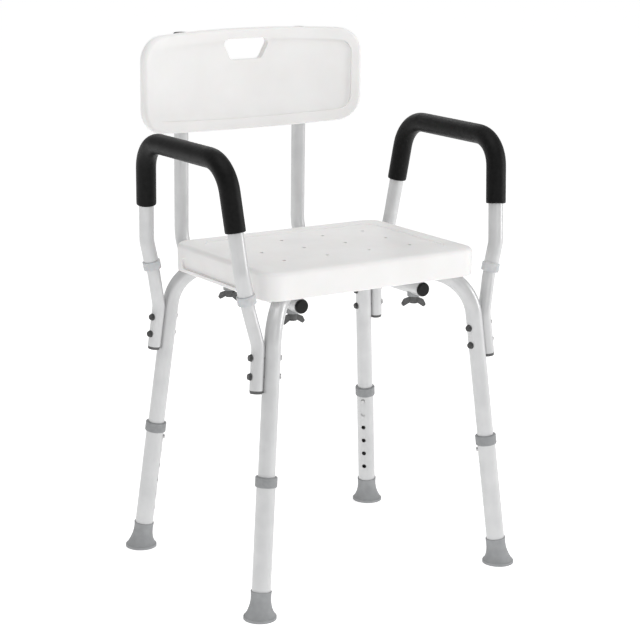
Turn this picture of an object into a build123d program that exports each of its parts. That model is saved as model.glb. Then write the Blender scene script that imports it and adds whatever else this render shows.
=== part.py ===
from build123d import *
import os
from math import atan2, cos, hypot, radians, sin, sqrt, tan

# Shower chair: a blow-moulded seat on two crossing bent tubes, four telescoping
# legs, a bolted backrest and two lift-off padded arms.
# Millimetres. +Z up, +X to the sitter's left, the sitter faces -Y.
# Origin: floor level, in the middle of the chair's plan.

os.makedirs("parts", exist_ok=True)

# ---------------------------------------------------------------- clearances
BOND = 0.05  # gap between pieces that are fixed together
RUN = 0.08  # radial gap of a bearing or threaded fit
FREE = 0.3  # gap between pieces that pass each other

# ---------------------------------------------------------------- seat
SEAT_WIDTH = 421.0
SEAT_DEPTH = 310.0
SEAT_TOP = 556.0  # sitting height with the legs fully out
SEAT_HEIGHT = 47.0  # from the sitting face to the hem
SEAT_AHEAD = 9.0  # of the seat's middle, in front of the frame's crossing
SEAT_CORNER = 31.0  # plan corner radius
SEAT_EDGE = 8.0  # rounding of the top edge
HEM_EDGE = 2.5  # rounding of the hem
HEM_WALL = 13.0
SEAT_RECESS = 18.0  # depth of the hollow under the seat
DISH_INSET = 34.0
DISH_DEPTH = 1.5
DRAIN_RADIUS = 3.5
DRAIN_STEP_X = 84.0
DRAIN_STEP_Y = 70.0
GRIP_LENGTH = 236.0  # broad finger grips along both sides
GRIP_HEIGHT = 20.0
GRIP_DEPTH = 4.0
GRIP_DROP = 31.0  # below the sitting face
CHANNEL_GAP = 1.5  # around the frame tubes where they leave through the hem
SEAT_BOTTOM = SEAT_TOP - SEAT_HEIGHT
DECK_UNDERSIDE = SEAT_BOTTOM + SEAT_RECESS

# ---------------------------------------------------------------- frame and arm posts
FRAME_OD = 28.0
FRAME_WALL = 1.5
FRAME_BEND = 80.0  # centreline radius
FRAME_Z = DECK_UNDERSIDE - FRAME_OD / 2 - BOND
LEG_SPLAY = radians(7.1)  # from the vertical
POST_OD = 22.0
POST_WALL = 1.5
POST_BEND = 50.0
POST_REACH_UP = 71.0  # straight length beside the leg
POST_BEND_AT = FRAME_Z - 70.0  # along the leg, from the floor
POST_FOOT_AT = POST_BEND_AT - POST_REACH_UP
POST_SIDE = radians(8.0)  # how far round the leg the post sits, from straight out
POST_JOG = 15.8  # sideways, between the leg and the arm's open end
POST_TURN_IN = 11.5  # towards the chair's middle line
CAP_HEIGHT = 5.0
CAP_STEM = 10.0
ARM_WALL = 1.4
ARM_BORE = POST_OD + 2 * FREE
ARM_OD = ARM_BORE + 2 * ARM_WALL
ARM_GAP = 19.3  # between the seat's side and the arm's open end
MOUTH_X = SEAT_WIDTH / 2 + ARM_GAP + ARM_OD / 2  # arm tube's open end

# The legs stand under the arm posts.
LEG_PAST_SEAT = 9.5  # from the seat's front to the legs, at the posts' bends
LEG_X = MOUTH_X - POST_JOG - FRAME_OD / 2 - POST_OD / 2
LEG_Y = SEAT_DEPTH / 2 + LEG_PAST_SEAT
LEG_TURN = atan2(LEG_Y, LEG_X)  # direction of the legs, from the X axis
FOOT_REACH = hypot(LEG_X, LEG_Y) + POST_BEND_AT * sin(LEG_SPLAY)  # to the foot centres

CROSS_WIDTH = FRAME_OD + 8.0  # of the flattened crossing
CROSS_HEIGHT = FRAME_OD / 2 - BOND
CROSS_MARGIN = 2.0
CROSS_FLAT = CROSS_WIDTH / 2 * (1 / sin(2 * LEG_TURN) + abs(1 / tan(2 * LEG_TURN))) + CROSS_MARGIN
CROSS_BLEND = CROSS_FLAT + 34.0  # where the tube is round again
CENTRE_HEAD = 6.5  # radius
CENTRE_HEAD_HEIGHT = 3.6
CENTRE_BITE = 12.0  # length in the seat

# ---------------------------------------------------------------- legs
LEG_WALL = 1.2
LEG_BORE = FRAME_OD + 2 * FREE
LEG_OD = LEG_BORE + 2 * LEG_WALL
FOOT_HEIGHT = 45.0
FOOT_NECK = LEG_OD / 2 + 1.8  # radius at the top
FOOT_WAIST = LEG_OD / 2 + 4.0  # radius just above the flange's flare
FOOT_BASE = LEG_OD / 2 + 11.5  # radius
FOOT_FLANGE = 5.0
FOOT_DRAFT = 1.5  # step from the flange to the flare
FOOT_WAIST_AT = 17.0
FOOT_FLOOR = 9.0  # rubber under the tube's end
FOOT_EDGE = 1.2
TREAD_DEPTH = 1.5
TREAD_RIM = 6.0
TREAD_WIDTH = 4.0
TREAD_COUNT = 2
COLLAR_HEIGHT = 17.0
COLLAR_OD = LEG_OD + 5.0
COLLAR_LIP = 5.0
COLLAR_EDGE = 1.8
BUTTON_DROP = 17.0  # from the collar's middle to the snap button
HOLE_PITCH = 26.5
HOLE_RADIUS = 4.0
LOWEST_HOLE = FOOT_HEIGHT + 29.4
POST_GAP = 7.0  # between the collar and the arm post, legs fully in
COLLAR_AT = (POST_FOOT_AT - POST_GAP - COLLAR_HEIGHT / 2 + BUTTON_DROP + LOWEST_HOLE) / 2
HOLE_COUNT = int((COLLAR_AT - BUTTON_DROP - LOWEST_HOLE) / HOLE_PITCH) + 1
BUTTON_RADIUS = HOLE_RADIUS - FREE
BUTTON_PROUD = 3.0
BUTTON_EDGE = 1.5
INSERTION = 50.0  # of the frame tube below the snap button
LEAF_THICK = 0.8
LEAF_WIDTH = 7.0

# ---------------------------------------------------------------- back
RAIL_OD = 25.4
RAIL_WALL = 1.4
RAIL_X = 122.0
RAIL_BEND = 65.0
RAIL_AHEAD = 24.5  # of the front knobs
PLUG_LENGTH = 5.0
PLUG_STEM = 12.0
BACK_WIDTH = 447.0
BACK_ABOVE_SEAT = 173.0
BACK_HEIGHT = 162.0
BACK_BEHIND_SEAT = 54.0
BACK_SAG = 34.0  # how far the panel's middle lies behind its ends
BACK_THICK = 18.0
BACK_CORNER = 44.0
BACK_BOW_TOP = 7.0
BACK_BOW_BOTTOM = 9.0
BACK_EDGE = 6.0
PANEL_INSET = 20.0
PANEL_DEPTH = 4.0
HAND_TOP = 102.0  # hand-hold widths
HAND_BOTTOM = 62.0
HAND_HEIGHT = 37.0
HAND_DROP = 18.0  # from the panel's top edge
HAND_CORNER = 9.0
SCREW_RADIUS = 2.5
SCREW_HEAD = 5.0  # radius
SCREW_HEAD_HEIGHT = 3.0
SCREW_BITE = 9.0  # length in the panel
RAIL_SHORT = 2.0  # of the panel's top
BACK_BOTTOM = SEAT_TOP + BACK_ABOVE_SEAT
BACK_TOP = BACK_BOTTOM + BACK_HEIGHT
BACK_FRONT = SEAT_DEPTH / 2 + BACK_BEHIND_SEAT  # front of the panel's ends
RAIL_TOP = BACK_TOP - RAIL_SHORT
SCREW_HEIGHTS = (BACK_BOTTOM + 36.0, BACK_TOP - 41.0)

# ---------------------------------------------------------------- clamping knobs
STUD_RADIUS = 3.0
STUD_GRIP = 15.0  # length in the seat's insert
STUD_TIP = 0.8
INSERT_RADIUS = 5.5
SADDLE_RADIUS = 11.0
SADDLE_DROP = 3.0
SADDLE_REACH = 5.0
KNOB_HEIGHT = 12.0
KNOB_HUB = 8.0
KNOB_CROWN = 3.0  # closed end under the stud
WING_SPAN = 42.0
WING_DROP = 18.0
WING_THICK = 7.0
WING_ROOT = 7.0
WING_SHOULDER = 6.0
WING_TIP = 4.0
WING_EDGE = 2.0
KNOB_TURNS = {"front_left": -5.0, "front_right": -35.0, "rear_left": -62.0, "rear_right": -10.0}

# ---------------------------------------------------------------- arms
MOUTH_Y = LEG_Y - POST_TURN_IN
MOUTH_Z = SEAT_TOP - 43.0
SLEEVE_LEAN = radians(12.7)
SLEEVE_BELOW = 14.0  # straight post under the mouth
SLEEVE_ABOVE = 47.0  # straight arm tube above the mouth
SLEEVE_OVERLAP = 38.0
ARM_TOP_X = MOUTH_X + 24.5
ARM_TOP_Y = MOUTH_Y - 25.0
ARM_TOP_Z = SEAT_TOP + 178.0
ARM_BEND = 55.0
ARM_ELBOW = 60.0
GRIP_OD = ARM_OD + 8.6
GRIP_LOW = ARM_TOP_Z - 110.0
ARM_COLLAR_OD = ARM_OD + 5.0
ARM_COLLAR_HEIGHT = 15.0
ARM_COLLAR_LIP = 3.0
ARM_COLLAR_EDGE = 1.2
BOLT_RADIUS = 3.0
BOLTS_AT = (POST_FOOT_AT + 22.0, POST_FOOT_AT + 52.0)  # along the leg, from the floor
BOLT_HEAD = 6.2  # radius
BOLT_HEAD_HEIGHT = 4.2
NUT_RADIUS = 5.5
NUT_HEIGHT = 2.4
NUT_SKIN = 0.8  # closed end over the bolt

CORNERS = {
    "front_left": (-1, -1),
    "front_right": (1, -1),
    "rear_left": (-1, 1),
    "rear_right": (1, 1),
}
SIDES = {"left": -1, "right": 1}

# The panel's front is an arc. The back rails stand against the panel's curved rear.
BACK_RADIUS = ((BACK_WIDTH / 2) ** 2 + BACK_SAG**2) / (2 * BACK_SAG)
BACK_CENTRE = BACK_FRONT + BACK_SAG - BACK_RADIUS
RAIL_RADIUS = BACK_RADIUS + BACK_THICK + RAIL_OD / 2 + BOND
RAIL_Y = BACK_CENTRE + sqrt(RAIL_RADIUS**2 - RAIL_X**2)

# The origin is the middle of the plan: MIDDLE_Y is where the frame's crossing stands.
FRONT_EDGE = FOOT_REACH * sin(LEG_TURN) + FOOT_BASE
REAR_EDGE = RAIL_Y + RAIL_OD / 2 + BOND + SCREW_HEAD_HEIGHT
MIDDLE_Y = (FRONT_EDGE - REAR_EDGE) / 2
SEAT_Y = MIDDLE_Y - SEAT_AHEAD
RAIL_Z = FRAME_Z - FRAME_OD / 2 - RAIL_OD / 2 - BOND
KNOB_Y = RAIL_X * tan(LEG_TURN)
RAIL_FRONT = -(KNOB_Y + RAIL_AHEAD)
SADDLE_BOTTOM = RAIL_Z - RAIL_OD / 2 - SADDLE_DROP
KNOB_TOP = SADDLE_BOTTOM - FREE


# ---------------------------------------------------------------- helpers
def spoke(corner, radius, height):
    """A point in the leg's upright plane."""
    side, fore = CORNERS[corner]
    return Vector(
        side * radius * cos(LEG_TURN),
        MIDDLE_Y + fore * radius * sin(LEG_TURN),
        height,
    )


def leg_up(corner):
    """Unit vector up the leg."""
    return (spoke(corner, FOOT_REACH - tan(LEG_SPLAY), 1) - spoke(corner, FOOT_REACH, 0)).normalized()


def leg_point(corner, along):
    """A point on the leg's axis, measured from the floor."""
    return spoke(corner, FOOT_REACH, 0) + leg_up(corner) * along


def leg_out(corner):
    """Unit vector square to the leg, away from the chair's middle."""
    radial = (spoke(corner, 1, 0) - spoke(corner, 0, 0)).normalized()
    return (radial - leg_up(corner) * radial.dot(leg_up(corner))).normalized()


def leg_plane(corner, along):
    """The plane across the leg."""
    return Plane(origin=leg_point(corner, along), x_dir=leg_out(corner), z_dir=leg_up(corner))


def post_out(corner):
    """Unit vector from the leg's axis to the arm post's, square to the leg."""
    side, fore = CORNERS[corner]
    level = Vector(side * cos(POST_SIDE), -fore * sin(POST_SIDE), 0)
    return (level - leg_up(corner) * level.dot(leg_up(corner))).normalized()


def round_bar(points, bend, radius):
    """A solid round bar along straight runs joined by arcs."""
    with BuildPart() as bar:
        with BuildLine() as path:
            FilletPolyline(*points, radius=bend)
        with BuildSketch(Plane(origin=path.line @ 0, z_dir=path.line % 0)):
            Circle(radius)
        sweep()
    return bar.part


def rod(start, end, radius):
    """A straight round bar between two points."""
    along = end - start
    with BuildPart() as bar:
        with BuildSketch(Plane(origin=start, z_dir=along)):
            Circle(radius)
        extrude(amount=along.length)
    return bar.part


def save(piece, name):
    """Label a finished piece and write it."""
    piece.part.label = name
    export_step(piece.part, "parts/" + name + ".step")


def knob_spots():
    """The four places where rail, frame and seat are bolted together."""
    return {name: (side * RAIL_X, MIDDLE_Y + fore * KNOB_Y) for name, (side, fore) in CORNERS.items()}


# ---------------------------------------------------------------- frame tubes
def frame_bar(corner, lift, inset):
    """One crossing tube's outer solid, or its bore when inset is the wall."""
    outward = (spoke(corner, 1, 0) - spoke(corner, 0, 0)).normalized()
    across = outward.cross(Vector(0, 0, 1))
    upright = Plane(origin=(0, MIDDLE_Y, 0), x_dir=outward, z_dir=across)
    end = leg_point(corner, COLLAR_AT - BUTTON_DROP - INSERTION)
    end_reach = FOOT_REACH - end.Z * tan(LEG_SPLAY)
    shoulder = FOOT_REACH - FRAME_Z * tan(LEG_SPLAY)
    round_again = upright.from_local_coords(Vector(CROSS_BLEND, FRAME_Z, 0))
    flat = upright.from_local_coords(Vector(CROSS_FLAT, FRAME_Z + lift, 0))
    slot_width = CROSS_WIDTH - 2 * inset
    slot_height = CROSS_HEIGHT - 2 * inset
    with BuildPart() as bar:
        with BuildLine(upright) as path:
            FilletPolyline(
                (end_reach, end.Z), (shoulder, FRAME_Z), (CROSS_BLEND, FRAME_Z), radius=FRAME_BEND
            )
        with BuildSketch(Plane(origin=path.line @ 0, z_dir=path.line % 0)):
            Circle(FRAME_OD / 2 - inset)
        sweep()
        with BuildSketch(Plane(origin=round_again, x_dir=across, z_dir=-outward)):
            Circle(FRAME_OD / 2 - inset)
        with BuildSketch(Plane(origin=flat, x_dir=across, z_dir=-outward)):
            SlotOverall(slot_width, slot_height)
        loft()
        with BuildSketch(Plane(origin=flat, x_dir=across, z_dir=-outward)):
            SlotOverall(slot_width, slot_height)
        extrude(amount=CROSS_FLAT)
        mirror(about=Plane(origin=(0, MIDDLE_Y, 0), z_dir=outward))
    return bar.part


def make_frame_tube(name, near, far, lift):
    outer = frame_bar(far, lift, 0)
    bore = frame_bar(far, lift, FRAME_WALL)
    spots = [(0, MIDDLE_Y), knob_spots()[near], knob_spots()[far]]
    holes = []
    for x, y in spots:
        low = Vector(x, y, FRAME_Z - FRAME_OD)
        holes.append(rod(low, Vector(x, y, FRAME_Z + FRAME_OD), STUD_RADIUS + FREE))
    for corner in (near, far):
        button = leg_point(corner, COLLAR_AT - BUTTON_DROP)
        holes.append(rod(button, button - leg_out(corner) * FRAME_OD, BUTTON_RADIUS + FREE))
        for along in BOLTS_AT:
            middle = leg_point(corner, along)
            reach = post_out(corner) * FRAME_OD
            holes.append(rod(middle - reach, middle + reach, BOLT_RADIUS + FREE))
    with BuildPart() as tube:
        add(outer)
        add(bore, mode=Mode.SUBTRACT)
        add(holes, mode=Mode.SUBTRACT)
    save(tube, name)


# ---------------------------------------------------------------- telescoping legs
def make_leg_tube(corner):
    start = FOOT_FLOOR + BOND
    mouth = COLLAR_AT + COLLAR_HEIGHT / 2 - COLLAR_LIP - BOND
    with BuildPart() as tube:
        with BuildSketch(leg_plane(corner, start)):
            Circle(LEG_OD / 2)
            Circle(LEG_BORE / 2, mode=Mode.SUBTRACT)
        extrude(amount=mouth - start)
        for step in range(HOLE_COUNT):
            spot = leg_point(corner, COLLAR_AT - BUTTON_DROP - step * HOLE_PITCH)
            with BuildSketch(Plane(origin=spot, z_dir=-leg_out(corner))):
                Circle(HOLE_RADIUS)
            extrude(amount=LEG_OD, mode=Mode.SUBTRACT)
    save(tube, "leg_tube_" + corner)


def make_leg_collar(corner):
    low = COLLAR_AT - COLLAR_HEIGHT / 2
    with BuildPart() as collar:
        with BuildSketch(leg_plane(corner, low)):
            Circle(COLLAR_OD / 2)
        extrude(amount=COLLAR_HEIGHT)
        fillet(collar.edges(), COLLAR_EDGE)
        with BuildSketch(leg_plane(corner, low - 1)):
            Circle(LEG_OD / 2 + BOND)
        extrude(amount=COLLAR_HEIGHT - COLLAR_LIP + 1, mode=Mode.SUBTRACT)
        with BuildSketch(leg_plane(corner, low)):
            Circle(FRAME_OD / 2 + RUN)
        extrude(amount=COLLAR_HEIGHT, mode=Mode.SUBTRACT)
    save(collar, "leg_collar_" + corner)


def make_foot(corner):
    ground = Plane(origin=spoke(corner, FOOT_REACH, 0))
    with BuildPart() as foot:
        with BuildSketch(ground):
            Circle(FOOT_BASE)
        extrude(amount=FOOT_FLANGE)
        with BuildSketch(ground.offset(FOOT_FLANGE)):
            Circle(FOOT_BASE - FOOT_DRAFT)
        with BuildSketch(leg_plane(corner, FOOT_WAIST_AT)):
            Circle(FOOT_WAIST)
        with BuildSketch(leg_plane(corner, FOOT_HEIGHT)):
            Circle(FOOT_NECK)
        loft()
        fillet(foot.edges().filter_by(GeomType.CIRCLE).sort_by(Axis.Z)[-1], FOOT_EDGE)
        with BuildSketch(leg_plane(corner, FOOT_FLOOR)):
            Circle(LEG_OD / 2 + BOND)
        extrude(amount=FOOT_HEIGHT, mode=Mode.SUBTRACT)
        with BuildSketch(ground):
            for groove in range(TREAD_COUNT):
                outer = FOOT_BASE - TREAD_RIM - 2 * groove * TREAD_WIDTH
                Circle(outer)
                Circle(outer - TREAD_WIDTH, mode=Mode.SUBTRACT)
        extrude(amount=TREAD_DEPTH, mode=Mode.SUBTRACT)
    save(foot, "foot_" + corner)


def make_snap_button(corner):
    """A sprung button on a bent leaf that lies inside the frame tube."""
    inside = FRAME_OD / 2 - FRAME_WALL
    seat_depth = inside - 2.5
    section = Plane(
        origin=leg_point(corner, COLLAR_AT - BUTTON_DROP),
        x_dir=-leg_out(corner),
        z_dir=leg_up(corner).cross(leg_out(corner)),
    )
    face_plane = Plane(origin=section.origin, z_dir=-leg_out(corner)).offset(seat_depth)
    with BuildPart() as button:
        with BuildSketch(section):
            with BuildLine():
                Polyline((seat_depth, 7), (seat_depth, -16), (1.5, -32), (-6.5, -14), (-6.5, 2))
            trace(line_width=LEAF_THICK)
        extrude(amount=LEAF_WIDTH / 2, both=True)
        with BuildSketch(face_plane):
            Circle(BUTTON_RADIUS)
        extrude(amount=LEG_OD / 2 + BUTTON_PROUD - seat_depth)
        tip = button.faces().sort_by(Axis(section.origin, -leg_out(corner)))[-1]
        fillet(tip.edges(), BUTTON_EDGE)
    save(button, "snap_button_" + corner)


# ---------------------------------------------------------------- seat
def make_seat():
    bottom = Plane(origin=(0, SEAT_Y, SEAT_BOTTOM))
    top = Plane(origin=(0, SEAT_Y, SEAT_TOP))
    channels = []
    for corner in CORNERS:
        shoulder = FOOT_REACH - FRAME_Z * tan(LEG_SPLAY)
        low = FRAME_Z - 2 * FRAME_BEND
        points = [
            spoke(corner, FOOT_REACH - low * tan(LEG_SPLAY), low),
            spoke(corner, shoulder, FRAME_Z),
            spoke(corner, CROSS_BLEND, FRAME_Z),
        ]
        channels.append(round_bar(points, FRAME_BEND, FRAME_OD / 2 + CHANNEL_GAP))
    with BuildPart() as seat:
        with BuildSketch(bottom):
            RectangleRounded(SEAT_WIDTH, SEAT_DEPTH, SEAT_CORNER)
        extrude(amount=SEAT_HEIGHT)
        fillet(seat.faces().sort_by(Axis.Z)[-1].edges(), SEAT_EDGE)
        fillet(seat.faces().sort_by(Axis.Z)[0].edges(), HEM_EDGE)
        with BuildSketch(bottom):
            RectangleRounded(
                SEAT_WIDTH - 2 * HEM_WALL, SEAT_DEPTH - 2 * HEM_WALL, SEAT_CORNER - HEM_WALL
            )
        extrude(amount=SEAT_RECESS, mode=Mode.SUBTRACT)
        with BuildSketch(top):
            RectangleRounded(
                SEAT_WIDTH - 2 * DISH_INSET, SEAT_DEPTH - 2 * DISH_INSET, SEAT_CORNER
            )
        extrude(amount=-DISH_DEPTH, taper=35, mode=Mode.SUBTRACT)
        with BuildSketch(top):
            with GridLocations(DRAIN_STEP_X, DRAIN_STEP_Y, 4, 3):
                Circle(DRAIN_RADIUS)
        extrude(amount=-SEAT_HEIGHT, mode=Mode.SUBTRACT)
        for side in SIDES.values():
            flank = Plane(
                origin=(side * SEAT_WIDTH / 2, SEAT_Y, SEAT_TOP - GRIP_DROP),
                x_dir=(0, 1, 0),
                z_dir=(side, 0, 0),
            )
            with BuildSketch(flank):
                SlotOverall(GRIP_LENGTH, GRIP_HEIGHT)
            extrude(amount=-GRIP_DEPTH, mode=Mode.SUBTRACT)
        for x, y in knob_spots().values():
            with BuildSketch(Plane(origin=(x, y, DECK_UNDERSIDE - 1))):
                Circle(INSERT_RADIUS + BOND)
            extrude(amount=STUD_GRIP + 3, mode=Mode.SUBTRACT)
        with BuildSketch(Plane(origin=(0, MIDDLE_Y, DECK_UNDERSIDE - 1))):
            Circle(STUD_RADIUS + BOND)
        extrude(amount=STUD_GRIP, mode=Mode.SUBTRACT)
        add(channels, mode=Mode.SUBTRACT)
    save(seat, "seat")


def make_seat_inserts():
    """Threaded brass bushes that the knob studs screw into."""
    with BuildPart() as inserts:
        for x, y in knob_spots().values():
            with BuildSketch(Plane(origin=(x, y, DECK_UNDERSIDE))):
                Circle(INSERT_RADIUS)
                Circle(STUD_RADIUS + RUN, mode=Mode.SUBTRACT)
            extrude(amount=STUD_GRIP)
    save(inserts, "seat_inserts")


def make_centre_bolt():
    """Holds the crossing of the two frame tubes up against the seat."""
    head_top = FRAME_Z - FRAME_OD / 2 - BOND
    with BuildPart() as bolt:
        with BuildSketch(Plane(origin=(0, MIDDLE_Y, head_top))):
            Circle(CENTRE_HEAD)
        extrude(amount=-CENTRE_HEAD_HEIGHT)
        fillet(bolt.faces().sort_by(Axis.Z)[0].edges(), CENTRE_HEAD_HEIGHT / 2)
        with BuildSketch(Plane(origin=(0, MIDDLE_Y, head_top))):
            Circle(STUD_RADIUS)
        extrude(amount=FRAME_OD + 2 * BOND + CENTRE_BITE)
    save(bolt, "centre_bolt")


# ---------------------------------------------------------------- back
def panel_slab(front_depth, thickness):
    """A curved slab whose front follows the panel's front, set back by front_depth."""
    with BuildPart() as slab:
        with BuildSketch(Plane(origin=(0, MIDDLE_Y + BACK_CENTRE, BACK_BOTTOM - 60))):
            Circle(BACK_RADIUS + front_depth + thickness)
            Circle(BACK_RADIUS + front_depth, mode=Mode.SUBTRACT)
            with Locations((0, BACK_RADIUS)):
                Rectangle(BACK_WIDTH + 40, 4 * BACK_SAG + 80, mode=Mode.INTERSECT)
        extrude(amount=BACK_TOP - BACK_BOTTOM + 120)
    return slab.part


def panel_outline(inset, corner):
    """The panel's front view, drawn on the XZ plane and extruded through it."""
    half = BACK_WIDTH / 2 - inset
    low = BACK_BOTTOM + inset
    high = BACK_TOP - inset
    with BuildPart() as block:
        with BuildSketch(Plane(origin=(0, MIDDLE_Y + BACK_FRONT - 60, 0), x_dir=(1, 0, 0), z_dir=(0, -1, 0))):
            with BuildLine():
                Line((-half, low), (-half, high))
                ThreePointArc((-half, high), (0, high + BACK_BOW_TOP), (half, high))
                Line((half, high), (half, low))
                ThreePointArc((half, low), (0, low - BACK_BOW_BOTTOM), (-half, low))
            make_face()
            fillet(vertices(), corner)
        extrude(amount=-(BACK_SAG + BACK_THICK + 120))
    return block.part


def make_backrest():
    outline = panel_outline(0, BACK_CORNER)
    slab = panel_slab(0, BACK_THICK)
    panel = panel_outline(PANEL_INSET, BACK_CORNER - PANEL_INSET)
    panel_skin = panel_slab(-10, 10 + PANEL_DEPTH)
    hand_top = BACK_TOP + BACK_BOW_TOP - HAND_DROP
    front = Plane(origin=(0, MIDDLE_Y + BACK_FRONT - 30, 0), x_dir=(1, 0, 0), z_dir=(0, -1, 0))
    pilots = []
    for side in SIDES.values():
        for height in SCREW_HEIGHTS:
            rail_front = Vector(side * RAIL_X, MIDDLE_Y + RAIL_Y - RAIL_OD / 2, height)
            depth = Vector(0, SCREW_BITE + 1, 0)
            pilots.append(rod(rail_front - depth, rail_front + depth, SCREW_RADIUS + BOND))
    with BuildPart() as recess:
        add(panel)
        add(panel_skin, mode=Mode.INTERSECT)
    with BuildPart() as backrest:
        add(outline)
        add(slab, mode=Mode.INTERSECT)
        rims = backrest.edges().filter_by(lambda e: e.length > 2 * BACK_THICK).filter_by(
            lambda e: abs(e.tangent_at(0.5).Y) < 0.9
        )
        fillet(rims, BACK_EDGE)
        add(recess.part, mode=Mode.SUBTRACT)
        add(pilots, mode=Mode.SUBTRACT)
        with BuildSketch(front):
            with BuildLine():
                Polyline(
                    (-HAND_TOP / 2, hand_top),
                    (HAND_TOP / 2, hand_top),
                    (HAND_BOTTOM / 2, hand_top - HAND_HEIGHT),
                    (-HAND_BOTTOM / 2, hand_top - HAND_HEIGHT),
                    close=True,
                )
            make_face()
            fillet(vertices(), HAND_CORNER)
        extrude(amount=-(BACK_SAG + BACK_THICK + 60), mode=Mode.SUBTRACT)
    save(backrest, "backrest")


def rail_points(side):
    return [
        Vector(side * RAIL_X, MIDDLE_Y + RAIL_FRONT, RAIL_Z),
        Vector(side * RAIL_X, MIDDLE_Y + RAIL_Y, RAIL_Z),
        Vector(side * RAIL_X, MIDDLE_Y + RAIL_Y, RAIL_TOP),
    ]


def make_back_rail(name, side):
    holes = []
    for fore in (-1, 1):
        y = MIDDLE_Y + fore * KNOB_Y
        low = Vector(side * RAIL_X, y, RAIL_Z - RAIL_OD)
        holes.append(rod(low, Vector(side * RAIL_X, y, RAIL_Z + RAIL_OD), STUD_RADIUS + FREE))
    for height in SCREW_HEIGHTS:
        start = Vector(side * RAIL_X, MIDDLE_Y + RAIL_Y - RAIL_OD, height)
        holes.append(rod(start, start + Vector(0, 2 * RAIL_OD, 0), SCREW_RADIUS + BOND))
    with BuildPart() as rail:
        with BuildLine() as path:
            FilletPolyline(*rail_points(side), radius=RAIL_BEND)
        with BuildSketch(Plane(origin=path.line @ 0, z_dir=path.line % 0)):
            Circle(RAIL_OD / 2)
            Circle(RAIL_OD / 2 - RAIL_WALL, mode=Mode.SUBTRACT)
        sweep()
        add(holes, mode=Mode.SUBTRACT)
    save(rail, "back_rail_" + name)


def make_end_plug(name, plane, radius, bore, head):
    """A plug with a stem in the tube and a rounded head over its end."""
    with BuildPart() as plug:
        with BuildSketch(plane.offset(BOND)):
            Circle(radius)
        extrude(amount=head)
        fillet(plug.faces().sort_by(Axis(plane.origin, plane.z_dir))[-1].edges(), 0.45 * head)
        with BuildSketch(plane.offset(BOND)):
            Circle(bore - BOND)
        extrude(amount=-PLUG_STEM)
    save(plug, name)


def make_backrest_screws():
    with BuildPart() as screws:
        for side in SIDES.values():
            for height in SCREW_HEIGHTS:
                back = Plane(
                    origin=(side * RAIL_X, MIDDLE_Y + RAIL_Y + RAIL_OD / 2 + BOND, height),
                    z_dir=(0, 1, 0),
                )
                with BuildSketch(back):
                    Circle(SCREW_HEAD)
                extrude(amount=SCREW_HEAD_HEIGHT)
                with BuildSketch(back):
                    Circle(SCREW_RADIUS)
                extrude(amount=-(RAIL_OD + SCREW_BITE))
    save(screws, "backrest_screws")


# ---------------------------------------------------------------- clamping knobs
def make_wing_knob(corner):
    x, y = knob_spots()[corner]
    top = Plane(origin=(x, y, KNOB_TOP))
    turned = top.rotated((0, 0, KNOB_TURNS[corner]))
    wing_face = Plane(origin=top.origin, x_dir=turned.x_dir, z_dir=turned.x_dir.cross(Vector(0, 0, 1)))
    half = WING_SPAN / 2
    with BuildPart() as knob:
        with BuildSketch(top):
            Circle(KNOB_HUB)
        extrude(amount=-KNOB_HEIGHT, taper=6)
        with BuildSketch(wing_face):
            with BuildLine():
                Polyline(
                    (WING_ROOT, -WING_EDGE),
                    (half - WING_TIP, -WING_SHOULDER),
                    (half, WING_TIP - WING_DROP),
                    (half - WING_TIP, -WING_DROP),
                    (WING_ROOT, WING_EDGE / 4 - KNOB_HEIGHT),
                    (-WING_ROOT, WING_EDGE / 4 - KNOB_HEIGHT),
                    (WING_TIP - half, -WING_DROP),
                    (-half, WING_TIP - WING_DROP),
                    (WING_TIP - half, -WING_SHOULDER),
                    (-WING_ROOT, -WING_EDGE),
                    close=True,
                )
            make_face()
            fillet(vertices().sort_by(Axis.X)[:3] + vertices().sort_by(Axis.X)[-3:], WING_EDGE)
        extrude(amount=WING_THICK / 2, both=True)
        with BuildSketch(top):
            Circle(STUD_RADIUS + BOND)
        extrude(amount=KNOB_CROWN - KNOB_HEIGHT, mode=Mode.SUBTRACT)
    save(knob, "wing_knob_" + corner)


def make_knob_stud(corner):
    x, y = knob_spots()[corner]
    start = Vector(x, y, KNOB_TOP - KNOB_HEIGHT + KNOB_CROWN + BOND)
    end = Vector(x, y, DECK_UNDERSIDE + STUD_GRIP - 1)
    with BuildPart() as stud:
        with BuildSketch(Plane(origin=start)):
            Circle(STUD_RADIUS)
        extrude(amount=end.Z - start.Z)
        chamfer(stud.faces().sort_by(Axis.Z)[-1].edges(), STUD_TIP)
    save(stud, "knob_stud_" + corner)


def make_knob_saddles():
    """Curved washers between the knobs and the round rails."""
    with BuildPart() as saddles:
        for x, y in knob_spots().values():
            with BuildSketch(Plane(origin=(x, y, SADDLE_BOTTOM))):
                Circle(SADDLE_RADIUS)
                Circle(STUD_RADIUS + FREE, mode=Mode.SUBTRACT)
            extrude(amount=SADDLE_DROP + SADDLE_REACH)
        for side in SIDES.values():
            rail_start = Plane(origin=(side * RAIL_X, MIDDLE_Y + RAIL_FRONT, RAIL_Z), z_dir=(0, 1, 0))
            with BuildSketch(rail_start):
                Circle(RAIL_OD / 2 + BOND)
            extrude(amount=RAIL_Y, mode=Mode.SUBTRACT)
    save(saddles, "knob_saddles")


# ---------------------------------------------------------------- arms
def sleeve_up(side):
    """The straight way in which the arm lifts off its posts."""
    return Vector(side * sin(SLEEVE_LEAN), 0, cos(SLEEVE_LEAN))


def arm_mouth(corner):
    side, fore = CORNERS[corner]
    return Vector(side * MOUTH_X, MIDDLE_Y + fore * MOUTH_Y, MOUTH_Z)


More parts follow.
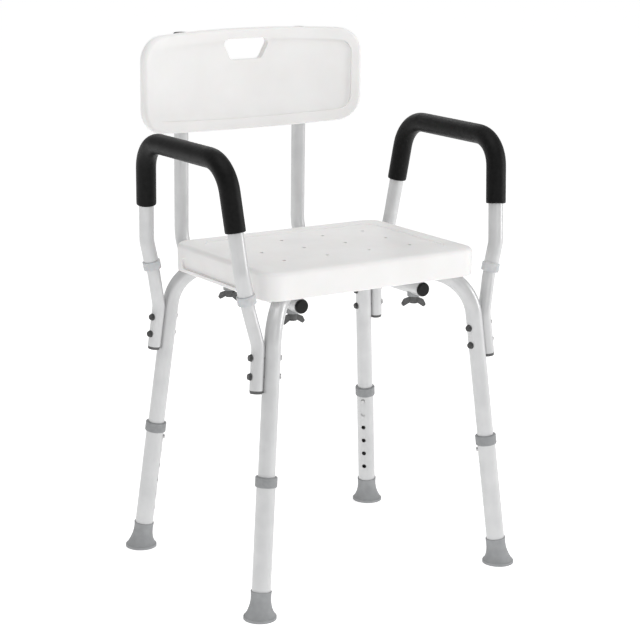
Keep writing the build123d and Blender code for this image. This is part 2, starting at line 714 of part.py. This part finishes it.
def post_points(corner):
    side = CORNERS[corner][0]
    offset = post_out(corner) * (FRAME_OD / 2 + POST_OD / 2 + BOND)
    return [
        leg_point(corner, POST_FOOT_AT) + offset,
        leg_point(corner, POST_BEND_AT) + offset,
        arm_mouth(corner) - sleeve_up(side) * SLEEVE_BELOW,
        arm_mouth(corner) + sleeve_up(side) * SLEEVE_OVERLAP,
    ]


def make_arm_post(corner):
    holes = []
    for along in BOLTS_AT:
        middle = leg_point(corner, along)
        holes.append(rod(middle, middle + post_out(corner) * 2 * FRAME_OD, BOLT_RADIUS + FREE))
    with BuildPart() as post:
        with BuildLine() as path:
            FilletPolyline(*post_points(corner), radius=POST_BEND)
        with BuildSketch(Plane(origin=path.line @ 0, z_dir=path.line % 0)):
            Circle(POST_OD / 2)
            Circle(POST_OD / 2 - POST_WALL, mode=Mode.SUBTRACT)
        sweep()
        add(holes, mode=Mode.SUBTRACT)
    save(post, "arm_post_" + corner)


def make_post_caps():
    """Plugs in the posts' lower ends."""
    with BuildPart() as caps:
        for corner in CORNERS:
            start = post_points(corner)[0]
            end_face = Plane(origin=start, z_dir=-leg_up(corner))
            with BuildSketch(end_face.offset(BOND)):
                Circle(POST_OD / 2)
            extrude(amount=CAP_HEIGHT, taper=12)
            with BuildSketch(end_face.offset(BOND)):
                Circle(POST_OD / 2 - POST_WALL - BOND)
            extrude(amount=-CAP_STEM)
    save(caps, "post_caps")


def bolt_ends(corner, along):
    """Where a bolt leaves the frame tube and the post, and its way to the head.

    All the heads are on the chair's -X side."""
    inner = leg_point(corner, along) - post_out(corner) * (FRAME_OD / 2 + BOND)
    outer = leg_point(corner, along) + post_out(corner) * (FRAME_OD / 2 + POST_OD + 2 * BOND)
    if CORNERS[corner][0] < 0:
        return outer, inner, post_out(corner)
    return inner, outer, -post_out(corner)


def make_arm_bolts():
    with BuildPart() as bolts:
        for corner in CORNERS:
            for along in BOLTS_AT:
                head, nut, way = bolt_ends(corner, along)
                with BuildSketch(Plane(origin=head, z_dir=way)):
                    Circle(BOLT_HEAD)
                extrude(amount=BOLT_HEAD_HEIGHT, taper=20)
                with BuildSketch(Plane(origin=head, z_dir=-way)):
                    Circle(BOLT_RADIUS)
                extrude(amount=(nut - head).length + NUT_HEIGHT - NUT_SKIN - BOND)
    save(bolts, "arm_bolts")


def make_arm_nuts():
    """Low closed nuts on the bolts' ends."""
    with BuildPart() as nuts:
        for corner in CORNERS:
            for along in BOLTS_AT:
                nut, way = bolt_ends(corner, along)[1:]
                with BuildSketch(Plane(origin=nut, z_dir=-way)):
                    Circle(NUT_RADIUS)
                extrude(amount=NUT_HEIGHT, taper=25)
                with BuildSketch(Plane(origin=nut, z_dir=-way)):
                    Circle(BOLT_RADIUS + RUN)
                extrude(amount=NUT_HEIGHT - NUT_SKIN, mode=Mode.SUBTRACT)
    save(nuts, "arm_nuts")


def arm_points(name):
    side = SIDES[name]
    front = arm_mouth("front_" + name)
    rear = arm_mouth("rear_" + name)
    elbow = sleeve_up(side) * SLEEVE_ABOVE
    return [
        front,
        front + elbow,
        Vector(side * ARM_TOP_X, MIDDLE_Y - ARM_TOP_Y, ARM_TOP_Z),
        Vector(side * ARM_TOP_X, MIDDLE_Y + ARM_TOP_Y, ARM_TOP_Z),
        rear + elbow,
        rear,
    ]


def make_arm_tube(name):
    bends = [ARM_ELBOW, ARM_BEND, ARM_BEND, ARM_ELBOW]
    with BuildPart() as tube:
        with BuildLine() as path:
            FilletPolyline(*arm_points(name), radius=bends)
        with BuildSketch(Plane(origin=path.line @ 0, z_dir=path.line % 0)):
            Circle(ARM_OD / 2)
            Circle(ARM_BORE / 2, mode=Mode.SUBTRACT)
        sweep()
    save(tube, "arm_tube_" + name)


def make_arm_grip(name):
    """Foam sleeve over the top bar and both corners."""
    points = arm_points(name)
    lower = [points[1], points[4]]
    ends = []
    for low, high in zip(lower, (points[2], points[3])):
        share = (GRIP_LOW - low.Z) / (high.Z - low.Z)
        ends.append(low + (high - low) * share)
    with BuildPart() as grip:
        with BuildLine() as path:
            FilletPolyline(ends[0], points[2], points[3], ends[1], radius=ARM_BEND)
        with BuildSketch(Plane(origin=path.line @ 0, z_dir=path.line % 0)):
            Circle(GRIP_OD / 2)
            Circle(ARM_OD / 2 + BOND, mode=Mode.SUBTRACT)
        sweep()
    save(grip, "arm_grip_" + name)


def make_arm_collar(corner):
    side = CORNERS[corner][0]
    low = arm_mouth(corner) - sleeve_up(side) * (ARM_COLLAR_LIP + BOND)
    start = Plane(origin=low, z_dir=sleeve_up(side))
    with BuildPart() as collar:
        with BuildSketch(start):
            Circle(ARM_COLLAR_OD / 2)
        extrude(amount=ARM_COLLAR_HEIGHT)
        fillet(collar.edges(), ARM_COLLAR_EDGE)
        with BuildSketch(start.offset(ARM_COLLAR_LIP)):
            Circle(ARM_OD / 2 + BOND)
        extrude(amount=ARM_COLLAR_HEIGHT, mode=Mode.SUBTRACT)
        with BuildSketch(start):
            Circle(POST_OD / 2 + RUN)
        extrude(amount=ARM_COLLAR_HEIGHT, mode=Mode.SUBTRACT)
    save(collar, "arm_collar_" + corner)


# ---------------------------------------------------------------- the whole chair
make_seat()
make_seat_inserts()
make_centre_bolt()
make_frame_tube("frame_tube_upper", "rear_left", "front_right", CROSS_HEIGHT / 2 + BOND)
make_frame_tube("frame_tube_lower", "front_left", "rear_right", -CROSS_HEIGHT / 2 - BOND)
make_backrest()
make_backrest_screws()
make_knob_saddles()
make_post_caps()
make_arm_bolts()
make_arm_nuts()
for side_name, side_sign in SIDES.items():
    make_back_rail(side_name, side_sign)
    points = rail_points(side_sign)
    bore_radius = RAIL_OD / 2 - RAIL_WALL
    front_end = Plane(origin=points[0], z_dir=(0, -1, 0))
    top_end = Plane(origin=points[2], z_dir=(0, 0, 1))
    make_end_plug("rail_plug_" + side_name, front_end, RAIL_OD / 2 - 1, bore_radius, PLUG_LENGTH)
    make_end_plug("rail_cap_" + side_name, top_end, RAIL_OD / 2, bore_radius, PLUG_LENGTH)
    make_arm_tube(side_name)
    make_arm_grip(side_name)
for corner_name in CORNERS:
    make_leg_tube(corner_name)
    make_leg_collar(corner_name)
    make_foot(corner_name)
    make_snap_button(corner_name)
    make_wing_knob(corner_name)
    make_knob_stud(corner_name)
    make_arm_post(corner_name)
    make_arm_collar(corner_name)
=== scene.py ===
"""Finishes, foam arm grips, floor, lights and camera for a shower chair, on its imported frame."""
import math

import bmesh
import bpy
from mathutils import Matrix, Vector


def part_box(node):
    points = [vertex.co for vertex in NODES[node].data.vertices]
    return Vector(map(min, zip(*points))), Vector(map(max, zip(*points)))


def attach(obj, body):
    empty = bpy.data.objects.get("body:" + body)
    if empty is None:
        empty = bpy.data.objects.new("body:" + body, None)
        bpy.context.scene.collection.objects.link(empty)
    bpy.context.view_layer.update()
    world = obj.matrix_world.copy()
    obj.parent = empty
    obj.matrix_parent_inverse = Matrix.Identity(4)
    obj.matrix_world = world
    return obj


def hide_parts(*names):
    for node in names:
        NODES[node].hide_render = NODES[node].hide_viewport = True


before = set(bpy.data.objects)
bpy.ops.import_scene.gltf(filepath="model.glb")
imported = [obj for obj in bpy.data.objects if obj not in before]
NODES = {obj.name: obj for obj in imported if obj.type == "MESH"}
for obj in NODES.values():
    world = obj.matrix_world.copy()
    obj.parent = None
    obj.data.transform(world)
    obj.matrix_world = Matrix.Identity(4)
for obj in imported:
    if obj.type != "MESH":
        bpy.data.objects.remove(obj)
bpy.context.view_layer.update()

SIDES = {"left": -1, "right": 1}    # along X
CORNERS = {                         # along X and Y
    "front_left": (-1, -1),
    "front_right": (1, -1),
    "rear_left": (-1, 1),
    "rear_right": (1, 1),
}
LEG_LEAN_X = 0.0965     # inwards, for each unit of height
LEG_LEAN_Y = 0.0787
TUBE_STRETCH = 0.015    # of the drawing lines' pattern, along a tube
TEXTURE_LOW = 0.3       # where most of a noise texture's values start and end
TEXTURE_HIGH = 0.7


# ---------------------------------------------------------------- material helpers
class Finish:
    """A material under construction: one shader and the textures that feed it."""

    def __init__(self, name):
        self.material = bpy.data.materials.new(name)
        self.material.use_nodes = True
        self.nodes = self.material.node_tree.nodes
        self.links = self.material.node_tree.links
        self.shader = self.nodes["Principled BSDF"]
        self.coords = self.nodes.new("ShaderNodeTexCoord").outputs["Object"]

    def set(self, **sockets):
        for name, value in sockets.items():
            self.shader.inputs[name.replace("_", " ")].default_value = value
        return self

    def turned(self, direction):
        """Object coordinates turned so that their Z runs along a direction."""
        mapping = self.nodes.new("ShaderNodeMapping")
        turn = direction.to_track_quat("Z", "Y").inverted().to_euler()
        mapping.inputs["Rotation"].default_value = turn
        self.links.new(self.coords, mapping.inputs["Vector"])
        return mapping.outputs["Vector"]

    def stretched(self, vector, scale):
        mapping = self.nodes.new("ShaderNodeMapping")
        mapping.inputs["Scale"].default_value = scale
        self.links.new(vector, mapping.inputs["Vector"])
        return mapping.outputs["Vector"]

    def noise(self, scale, detail, vector=None):
        noise = self.nodes.new("ShaderNodeTexNoise")
        noise.inputs["Scale"].default_value = scale
        noise.inputs["Detail"].default_value = detail
        self.links.new(vector or self.coords, noise.inputs["Vector"])
        return noise.outputs["Fac"]

    def cells(self, scale):
        cells = self.nodes.new("ShaderNodeTexVoronoi")
        cells.inputs["Scale"].default_value = scale
        self.links.new(self.coords, cells.inputs["Vector"])
        return cells.outputs["Distance"]

    def ramp(self, factor, low, high):
        """A texture's range, mapped to a range of colours."""
        ramp = self.nodes.new("ShaderNodeValToRGB")
        ramp.color_ramp.elements[0].position = TEXTURE_LOW
        ramp.color_ramp.elements[1].position = TEXTURE_HIGH
        ramp.color_ramp.elements[0].color = low
        ramp.color_ramp.elements[1].color = high
        self.links.new(factor, ramp.inputs["Fac"])
        return ramp.outputs["Color"]

    def spread(self, factor, low, high):
        """A texture's range, mapped to a range of values."""
        spread = self.nodes.new("ShaderNodeMapRange")
        spread.inputs["From Min"].default_value = TEXTURE_LOW
        spread.inputs["From Max"].default_value = TEXTURE_HIGH
        spread.inputs["To Min"].default_value = low
        spread.inputs["To Max"].default_value = high
        self.links.new(factor, spread.inputs["Value"])
        return spread.outputs["Result"]

    def colour(self, output):
        self.links.new(output, self.shader.inputs["Base Color"])
        return self

    def roughness(self, output):
        self.links.new(output, self.shader.inputs["Roughness"])
        return self

    def bumps(self, *layers):
        """Each layer is a texture and its depth in metres."""
        normal = None
        for height, depth in layers:
            bump = self.nodes.new("ShaderNodeBump")
            bump.inputs["Strength"].default_value = 1.0
            bump.inputs["Distance"].default_value = depth
            self.links.new(height, bump.inputs["Height"])
            if normal:
                self.links.new(normal, bump.inputs["Normal"])
            normal = bump.outputs["Normal"]
        self.links.new(normal, self.shader.inputs["Normal"])
        return self


def grey(value, warm=0.0):
    """A grey, made redder by a share of its value, or bluer where that is negative."""
    return (value * (1 + warm), value, value * (1 - warm), 1.0)


# ---------------------------------------------------------------- finishes
def white_moulding():
    """Blow-moulded polyethylene: faintly mottled, softly glossy, pebbled skin."""
    finish = Finish("white_moulding")
    finish.set(Specular_IOR_Level=0.45, Subsurface_Weight=0.06, Subsurface_Scale=0.004)
    finish.colour(finish.ramp(finish.noise(14, 4), grey(0.84, 0.012), grey(0.88, 0.008)))
    finish.roughness(finish.spread(finish.noise(60, 3), 0.36, 0.5))
    finish.bumps((finish.noise(9, 2), 0.0006), (finish.noise(900, 2), 0.00005))
    return finish.material


def satin_aluminium(name, direction=None):
    """Clear-anodised tube with faint drawing lines along it."""
    finish = Finish(name)
    finish.set(Metallic=0.3, Specular_IOR_Level=0.6)
    finish.colour(finish.ramp(finish.noise(30, 4), grey(0.58, -0.006), grey(0.64, -0.003)))
    if direction is None:
        grain = finish.noise(1500, 2)
    else:
        along = finish.stretched(finish.turned(direction), (1.0, 1.0, TUBE_STRETCH))
        grain = finish.noise(1400, 2, vector=along)
    finish.roughness(finish.spread(grain, 0.28, 0.36))
    finish.bumps((grain, 0.000004))
    return finish.material


def grey_moulding():
    finish = Finish("grey_moulding")
    finish.set(Specular_IOR_Level=0.4)
    finish.colour(finish.ramp(finish.noise(120, 4), grey(0.27, -0.02), grey(0.32, -0.02)))
    finish.roughness(finish.spread(finish.noise(300, 3), 0.42, 0.58))
    finish.bumps((finish.noise(1100, 2), 0.00004))
    return finish.material


def pale_moulding():
    """Pale, slightly waxy plastic of the arm collars."""
    finish = Finish("pale_moulding")
    finish.set(Specular_IOR_Level=0.45, Subsurface_Weight=0.1, Subsurface_Scale=0.002)
    finish.colour(finish.ramp(finish.noise(120, 4), grey(0.52, -0.02), grey(0.60, -0.02)))
    finish.roughness(finish.spread(finish.noise(300, 3), 0.34, 0.5))
    finish.bumps((finish.noise(1100, 2), 0.00003))
    return finish.material


def grey_rubber():
    finish = Finish("grey_rubber")
    finish.set(Specular_IOR_Level=0.3)
    finish.colour(finish.ramp(finish.noise(70, 5), grey(0.31, -0.02), grey(0.36, -0.02)))
    finish.roughness(finish.spread(finish.noise(220, 3), 0.6, 0.78))
    finish.bumps((finish.noise(700, 3), 0.00007))
    return finish.material


def knob_moulding():
    finish = Finish("knob_moulding")
    finish.set(Specular_IOR_Level=0.45)
    finish.colour(finish.ramp(finish.noise(90, 4), grey(0.07), grey(0.10)))
    finish.roughness(finish.spread(finish.noise(300, 3), 0.38, 0.52))
    finish.bumps((finish.noise(1200, 2), 0.00004))
    return finish.material


def black_moulding():
    finish = Finish("black_moulding")
    finish.set(Specular_IOR_Level=0.25)
    finish.colour(finish.ramp(finish.noise(120, 4), grey(0.003), grey(0.006)))
    finish.roughness(finish.spread(finish.noise(260, 3), 0.28, 0.42))
    finish.bumps((finish.noise(1300, 2), 0.00003))
    return finish.material


def black_foam():
    """Closed-cell foam with a smooth skin and fine pores."""
    finish = Finish("black_foam")
    finish.set(Specular_IOR_Level=0.14)
    finish.colour(finish.ramp(finish.noise(160, 4), grey(0.0025), grey(0.006)))
    finish.roughness(finish.spread(finish.noise(420, 4), 0.34, 0.48))
    finish.bumps((finish.noise(55, 3), 0.0006), (finish.cells(1500), 0.00012))
    return finish.material


def dark_fastener():
    """Blackened steel of the bolts that hold the arm posts."""
    finish = Finish("dark_fastener")
    finish.set(Metallic=0.6)
    finish.colour(finish.ramp(finish.noise(200, 4), grey(0.045), grey(0.075)))
    finish.roughness(finish.spread(finish.noise(600, 3), 0.32, 0.48))
    finish.bumps((finish.noise(900, 3), 0.00003))
    return finish.material


def zinc_steel():
    finish = Finish("zinc_steel")
    finish.set(Metallic=1.0)
    finish.colour(finish.ramp(finish.noise(200, 4), grey(0.5, -0.01), grey(0.6, 0.01)))
    finish.roughness(finish.spread(finish.noise(600, 3), 0.26, 0.42))
    finish.bumps((finish.noise(900, 3), 0.00003))
    return finish.material


def turned_brass():
    finish = Finish("turned_brass")
    finish.set(Metallic=1.0)
    finish.colour(finish.ramp(finish.noise(150, 3), (0.55, 0.38, 0.13, 1), (0.68, 0.49, 0.2, 1)))
    finish.roughness(finish.spread(finish.noise(500, 2), 0.25, 0.4))
    return finish.material


def dress(piece, material):
    """Give a piece or a frame node one material."""
    piece.data.materials.clear()
    piece.data.materials.append(material)


def dress_frame():
    white = white_moulding()
    moulded = grey_moulding()
    rubber = grey_rubber()
    knob = knob_moulding()
    black = black_moulding()
    steel = zinc_steel()
    pale = pale_moulding()
    plain_tube = satin_aluminium("satin_aluminium")
    for name in ("seat", "backrest"):
        dress(NODES[name], white)
    for name in ("frame_tube_upper", "frame_tube_lower", "back_rail_left", "back_rail_right"):
        dress(NODES[name], plain_tube)
    for name in ("backrest_screws", "centre_bolt", "arm_nuts"):
        dress(NODES[name], steel)
    dress(NODES["arm_bolts"], dark_fastener())
    dress(NODES["knob_saddles"], moulded)
    dress(NODES["post_caps"], knob)
    dress(NODES["seat_inserts"], turned_brass())
    for side in SIDES:
        dress(NODES["arm_tube_" + side], plain_tube)
        dress(NODES["rail_plug_" + side], black)
        dress(NODES["rail_cap_" + side], black)
    for corner, (side, fore) in CORNERS.items():
        lean = Vector((side * -LEG_LEAN_X, fore * -LEG_LEAN_Y, 1.0))
        drawn = satin_aluminium("satin_leg_" + corner, lean)
        dress(NODES["leg_tube_" + corner], drawn)
        dress(NODES["arm_post_" + corner], drawn)
        dress(NODES["leg_collar_" + corner], moulded)
        dress(NODES["arm_collar_" + corner], pale)
        dress(NODES["foot_" + corner], rubber)
        dress(NODES["wing_knob_" + corner], knob)
        dress(NODES["knob_stud_" + corner], steel)
        dress(NODES["snap_button_" + corner], steel)


# ---------------------------------------------------------------- foam arm grips
GRIP_RADIUS = 0.017
GRIP_HOLE = 0.0129                  # radius, just over the arm tube
GRIP_ROUND = 0.0016                 # rounding of the sleeve's ends
GRIP_SHOULDER = 0.7                 # share of the rounding that its middle ring stands out by
GRIP_BEND = 0.055                   # radius of both bends, on the axis
GRIP_STEP = 0.006                   # between rings
GRIP_SIDES = 32                     # round a ring
GRIP_LEAN_X = math.radians(4.62)    # of the two ends, from the vertical
GRIP_LEAN_Y = math.radians(8.12)


def grip_corners(side):
    """The grip's axis as four points: low front, top front, top rear, low rear."""
    low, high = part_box("arm_grip_" + side)
    sign = SIDES[side]
    middle = (low.y + high.y) / 2
    top_z = high.z - GRIP_RADIUS
    top_x = max(abs(low.x), abs(high.x)) - GRIP_RADIUS
    low_z = low.z + GRIP_RADIUS * math.sin(math.hypot(GRIP_LEAN_X, GRIP_LEAN_Y))
    half = (high.y - low.y) / 2 - GRIP_RADIUS * math.cos(GRIP_LEAN_Y)
    drop = top_z - low_z
    top_half = half - drop * math.tan(GRIP_LEAN_Y)
    low_x = top_x - drop * math.tan(GRIP_LEAN_X)
    return [
        Vector((sign * low_x, middle - half, low_z)),
        Vector((sign * top_x, middle - top_half, top_z)),
        Vector((sign * top_x, middle + top_half, top_z)),
        Vector((sign * low_x, middle + half, low_z)),
    ]


class Sleeve:
    """A round sleeve drawn out ring by ring: straight runs, bends and end roundings."""

    def __init__(self, start, direction, radius):
        self.mesh = bmesh.new()
        self.centre = start.copy()
        self.heading = direction.normalized()
        turn = self.heading.to_track_quat("Z", "Y").to_matrix().to_4x4()
        circle = bmesh.ops.create_circle(
            self.mesh, segments=GRIP_SIDES, radius=radius, matrix=Matrix.Translation(start) @ turn
        )
        self.verts = circle["verts"]
        self.first = list(self.verts)

    def edges_among(self, verts):
        ring = set(verts)
        return [edge for edge in self.mesh.edges if edge.verts[0] in ring and edge.verts[1] in ring]

    def take_ring(self, made):
        """Keep the vertices of a new ring as the last one."""
        self.verts = [item for item in made if isinstance(item, bmesh.types.BMVert)]

    def step(self, distance, growth=1.0):
        """Extrude the last ring forwards and scale it about its own centre."""
        made = bmesh.ops.extrude_edge_only(self.mesh, edges=self.edges_among(self.verts))
        self.take_ring(made["geom"])
        bmesh.ops.translate(self.mesh, verts=self.verts, vec=self.heading * distance)
        self.centre += self.heading * distance
        about = Matrix.Translation(-self.centre)
        bmesh.ops.scale(self.mesh, verts=self.verts, vec=(growth, growth, growth), space=about)

    def run(self, distance):
        count = max(1, round(distance / GRIP_STEP))
        for _ in range(count):
            self.step(distance / count)

    def bend(self, heading, radius):
        """Spin the last ring until it faces the new heading."""
        turn = self.heading.angle(heading)
        inward = (heading - self.heading * self.heading.dot(heading)).normalized()
        pivot = self.centre + inward * radius
        axis = self.heading.cross(inward)
        made = bmesh.ops.spin(
            self.mesh,
            geom=self.edges_among(self.verts),
            cent=pivot,
            axis=axis,
            angle=turn,
            steps=round(radius * turn / GRIP_STEP),
        )
        self.take_ring(made["geom_last"])
        self.centre = pivot + Matrix.Rotation(turn, 3, axis) @ (self.centre - pivot)
        self.heading = heading.copy()

    def close(self, name):
        """Fill the first and last rings and make the sleeve an object."""
        bmesh.ops.holes_fill(self.mesh, edges=self.edges_among(self.first + self.verts), sides=0)
        bmesh.ops.recalc_face_normals(self.mesh, faces=self.mesh.faces)
        return finished(name, self.mesh)


def finished(name, mesh):
    """Make a shaped mesh a smooth object in the scene."""
    data = bpy.data.meshes.new(name)
    for face in mesh.faces:
        face.smooth = True
    mesh.to_mesh(data)
    mesh.free()
    piece = bpy.data.objects.new(name, data)
    bpy.context.scene.collection.objects.link(piece)
    return piece


def subdivide(piece, levels):
    subdivision = piece.modifiers.new("subdivision", "SUBSURF")
    subdivision.levels = levels
    subdivision.render_levels = levels


def make_grip(side, foam):
    """Foam sleeve over the arm's top bar and both bends, with rounded ends."""
    corners = grip_corners(side)
    rim = GRIP_RADIUS - GRIP_ROUND
    shoulder = rim + GRIP_ROUND * GRIP_SHOULDER
    outer_step = GRIP_ROUND * (1 - GRIP_SHOULDER)
    inner_step = GRIP_ROUND * GRIP_SHOULDER
    sleeve = Sleeve(corners[0], corners[1] - corners[0], GRIP_HOLE)
    sleeve.step(0, rim / GRIP_HOLE)
    sleeve.step(outer_step, shoulder / rim)
    sleeve.step(inner_step, GRIP_RADIUS / shoulder)
    for corner, after in zip(corners[1:], corners[2:]):
        ahead = (after - corner).normalized()
        reach = GRIP_BEND * math.tan(sleeve.heading.angle(ahead) / 2)
        sleeve.run((corner - sleeve.centre).length - reach)
        sleeve.bend(ahead, GRIP_BEND)
    sleeve.run((corners[3] - sleeve.centre).length - GRIP_ROUND)
    sleeve.step(inner_step, shoulder / GRIP_RADIUS)
    sleeve.step(outer_step, rim / shoulder)
    sleeve.step(0, GRIP_HOLE / rim)
    grip = sleeve.close("foam_grip_" + side)
    dress(grip, foam)
    subdivide(grip, levels=1)
    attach(grip, "arm_" + side)
    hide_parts("arm_grip_" + side)


# ---------------------------------------------------------------- floor, light, camera
FLOOR_HALF = 20         # half the floor's width
SKY_STRENGTH = 0.5
CAMERA_PLACE = Vector((-1.8318, -2.7373, 0.0))  # seen from the frame's crossing
CAMERA_HEIGHT = 1.2218
CAMERA_HEADING = Vector((0.540087, 0.807874, -0.235893))
CAMERA_ROLL = math.radians(0.71)
CAMERA_SENSOR = 36
CAMERA_LENS = 111.54
CAMERA_FAR = 100


def make_floor():
    mesh = bmesh.new()
    bmesh.ops.create_grid(mesh, x_segments=2, y_segments=2, size=FLOOR_HALF)
    floor = finished("floor", mesh)
    finish = Finish("pale_floor")
    finish.set(Base_Color=(0.9, 0.9, 0.9, 1), Roughness=0.9, Specular_IOR_Level=0.0)
    finish.set(Emission_Color=(1, 1, 1, 1), Emission_Strength=0.55)
    dress(floor, finish.material)


def make_light(name, place, target, size, power):
    light = bpy.data.lights.new(name, "AREA")
    light.shape = "RECTANGLE"
    light.size, light.size_y = size
    light.energy = power
    lamp = bpy.data.objects.new(name, light)
    lamp.location = place
    lamp.rotation_euler = (Vector(target) - Vector(place)).to_track_quat("-Z", "Y").to_euler()
    bpy.context.scene.collection.objects.link(lamp)


def make_sky():
    world = bpy.data.worlds.new("studio")
    world.use_nodes = True
    background = world.node_tree.nodes["Background"]
    background.inputs["Color"].default_value = (1, 1, 1, 1)
    background.inputs["Strength"].default_value = SKY_STRENGTH
    bpy.context.scene.world = world


def make_camera():
    camera = bpy.data.cameras.new("camera")
    camera.sensor_width = CAMERA_SENSOR
    camera.lens = CAMERA_LENS
    camera.clip_end = CAMERA_FAR
    viewpoint = bpy.data.objects.new("camera", camera)
    low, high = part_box("centre_bolt")
    crossing = (low + high) / 2
    viewpoint.location = (crossing.x + CAMERA_PLACE.x, crossing.y + CAMERA_PLACE.y, CAMERA_HEIGHT)
    level = CAMERA_HEADING.to_track_quat("-Z", "Y")
    roll = Matrix.Rotation(CAMERA_ROLL, 4, "Z")
    viewpoint.rotation_euler = (level.to_matrix().to_4x4() @ roll).to_euler()
    bpy.context.scene.collection.objects.link(viewpoint)
    bpy.context.scene.camera = viewpoint


dress_frame()
grip_foam = black_foam()
for side_name in SIDES:
    make_grip(side_name, grip_foam)
make_floor()
make_light("key", (3.0, -1.7, 1.3), (0, 0, 0.45), size=(0.8, 1.8), power=27)
make_light("front", (-0.6, -3.6, 1.8), (0, 0, 0.5), size=(1.6, 1.6), power=7)
make_light("top", (-0.4, -0.6, 3.2), (0, 0, 0.5), size=(2.6, 2.6), power=27)
make_light("back", (1.2, 2.8, 2.2), (0, 0, 0.5), size=(2.0, 1.6), power=10)
make_sky()
make_camera()
bpy.context.scene.view_settings.view_transform = "Standard"
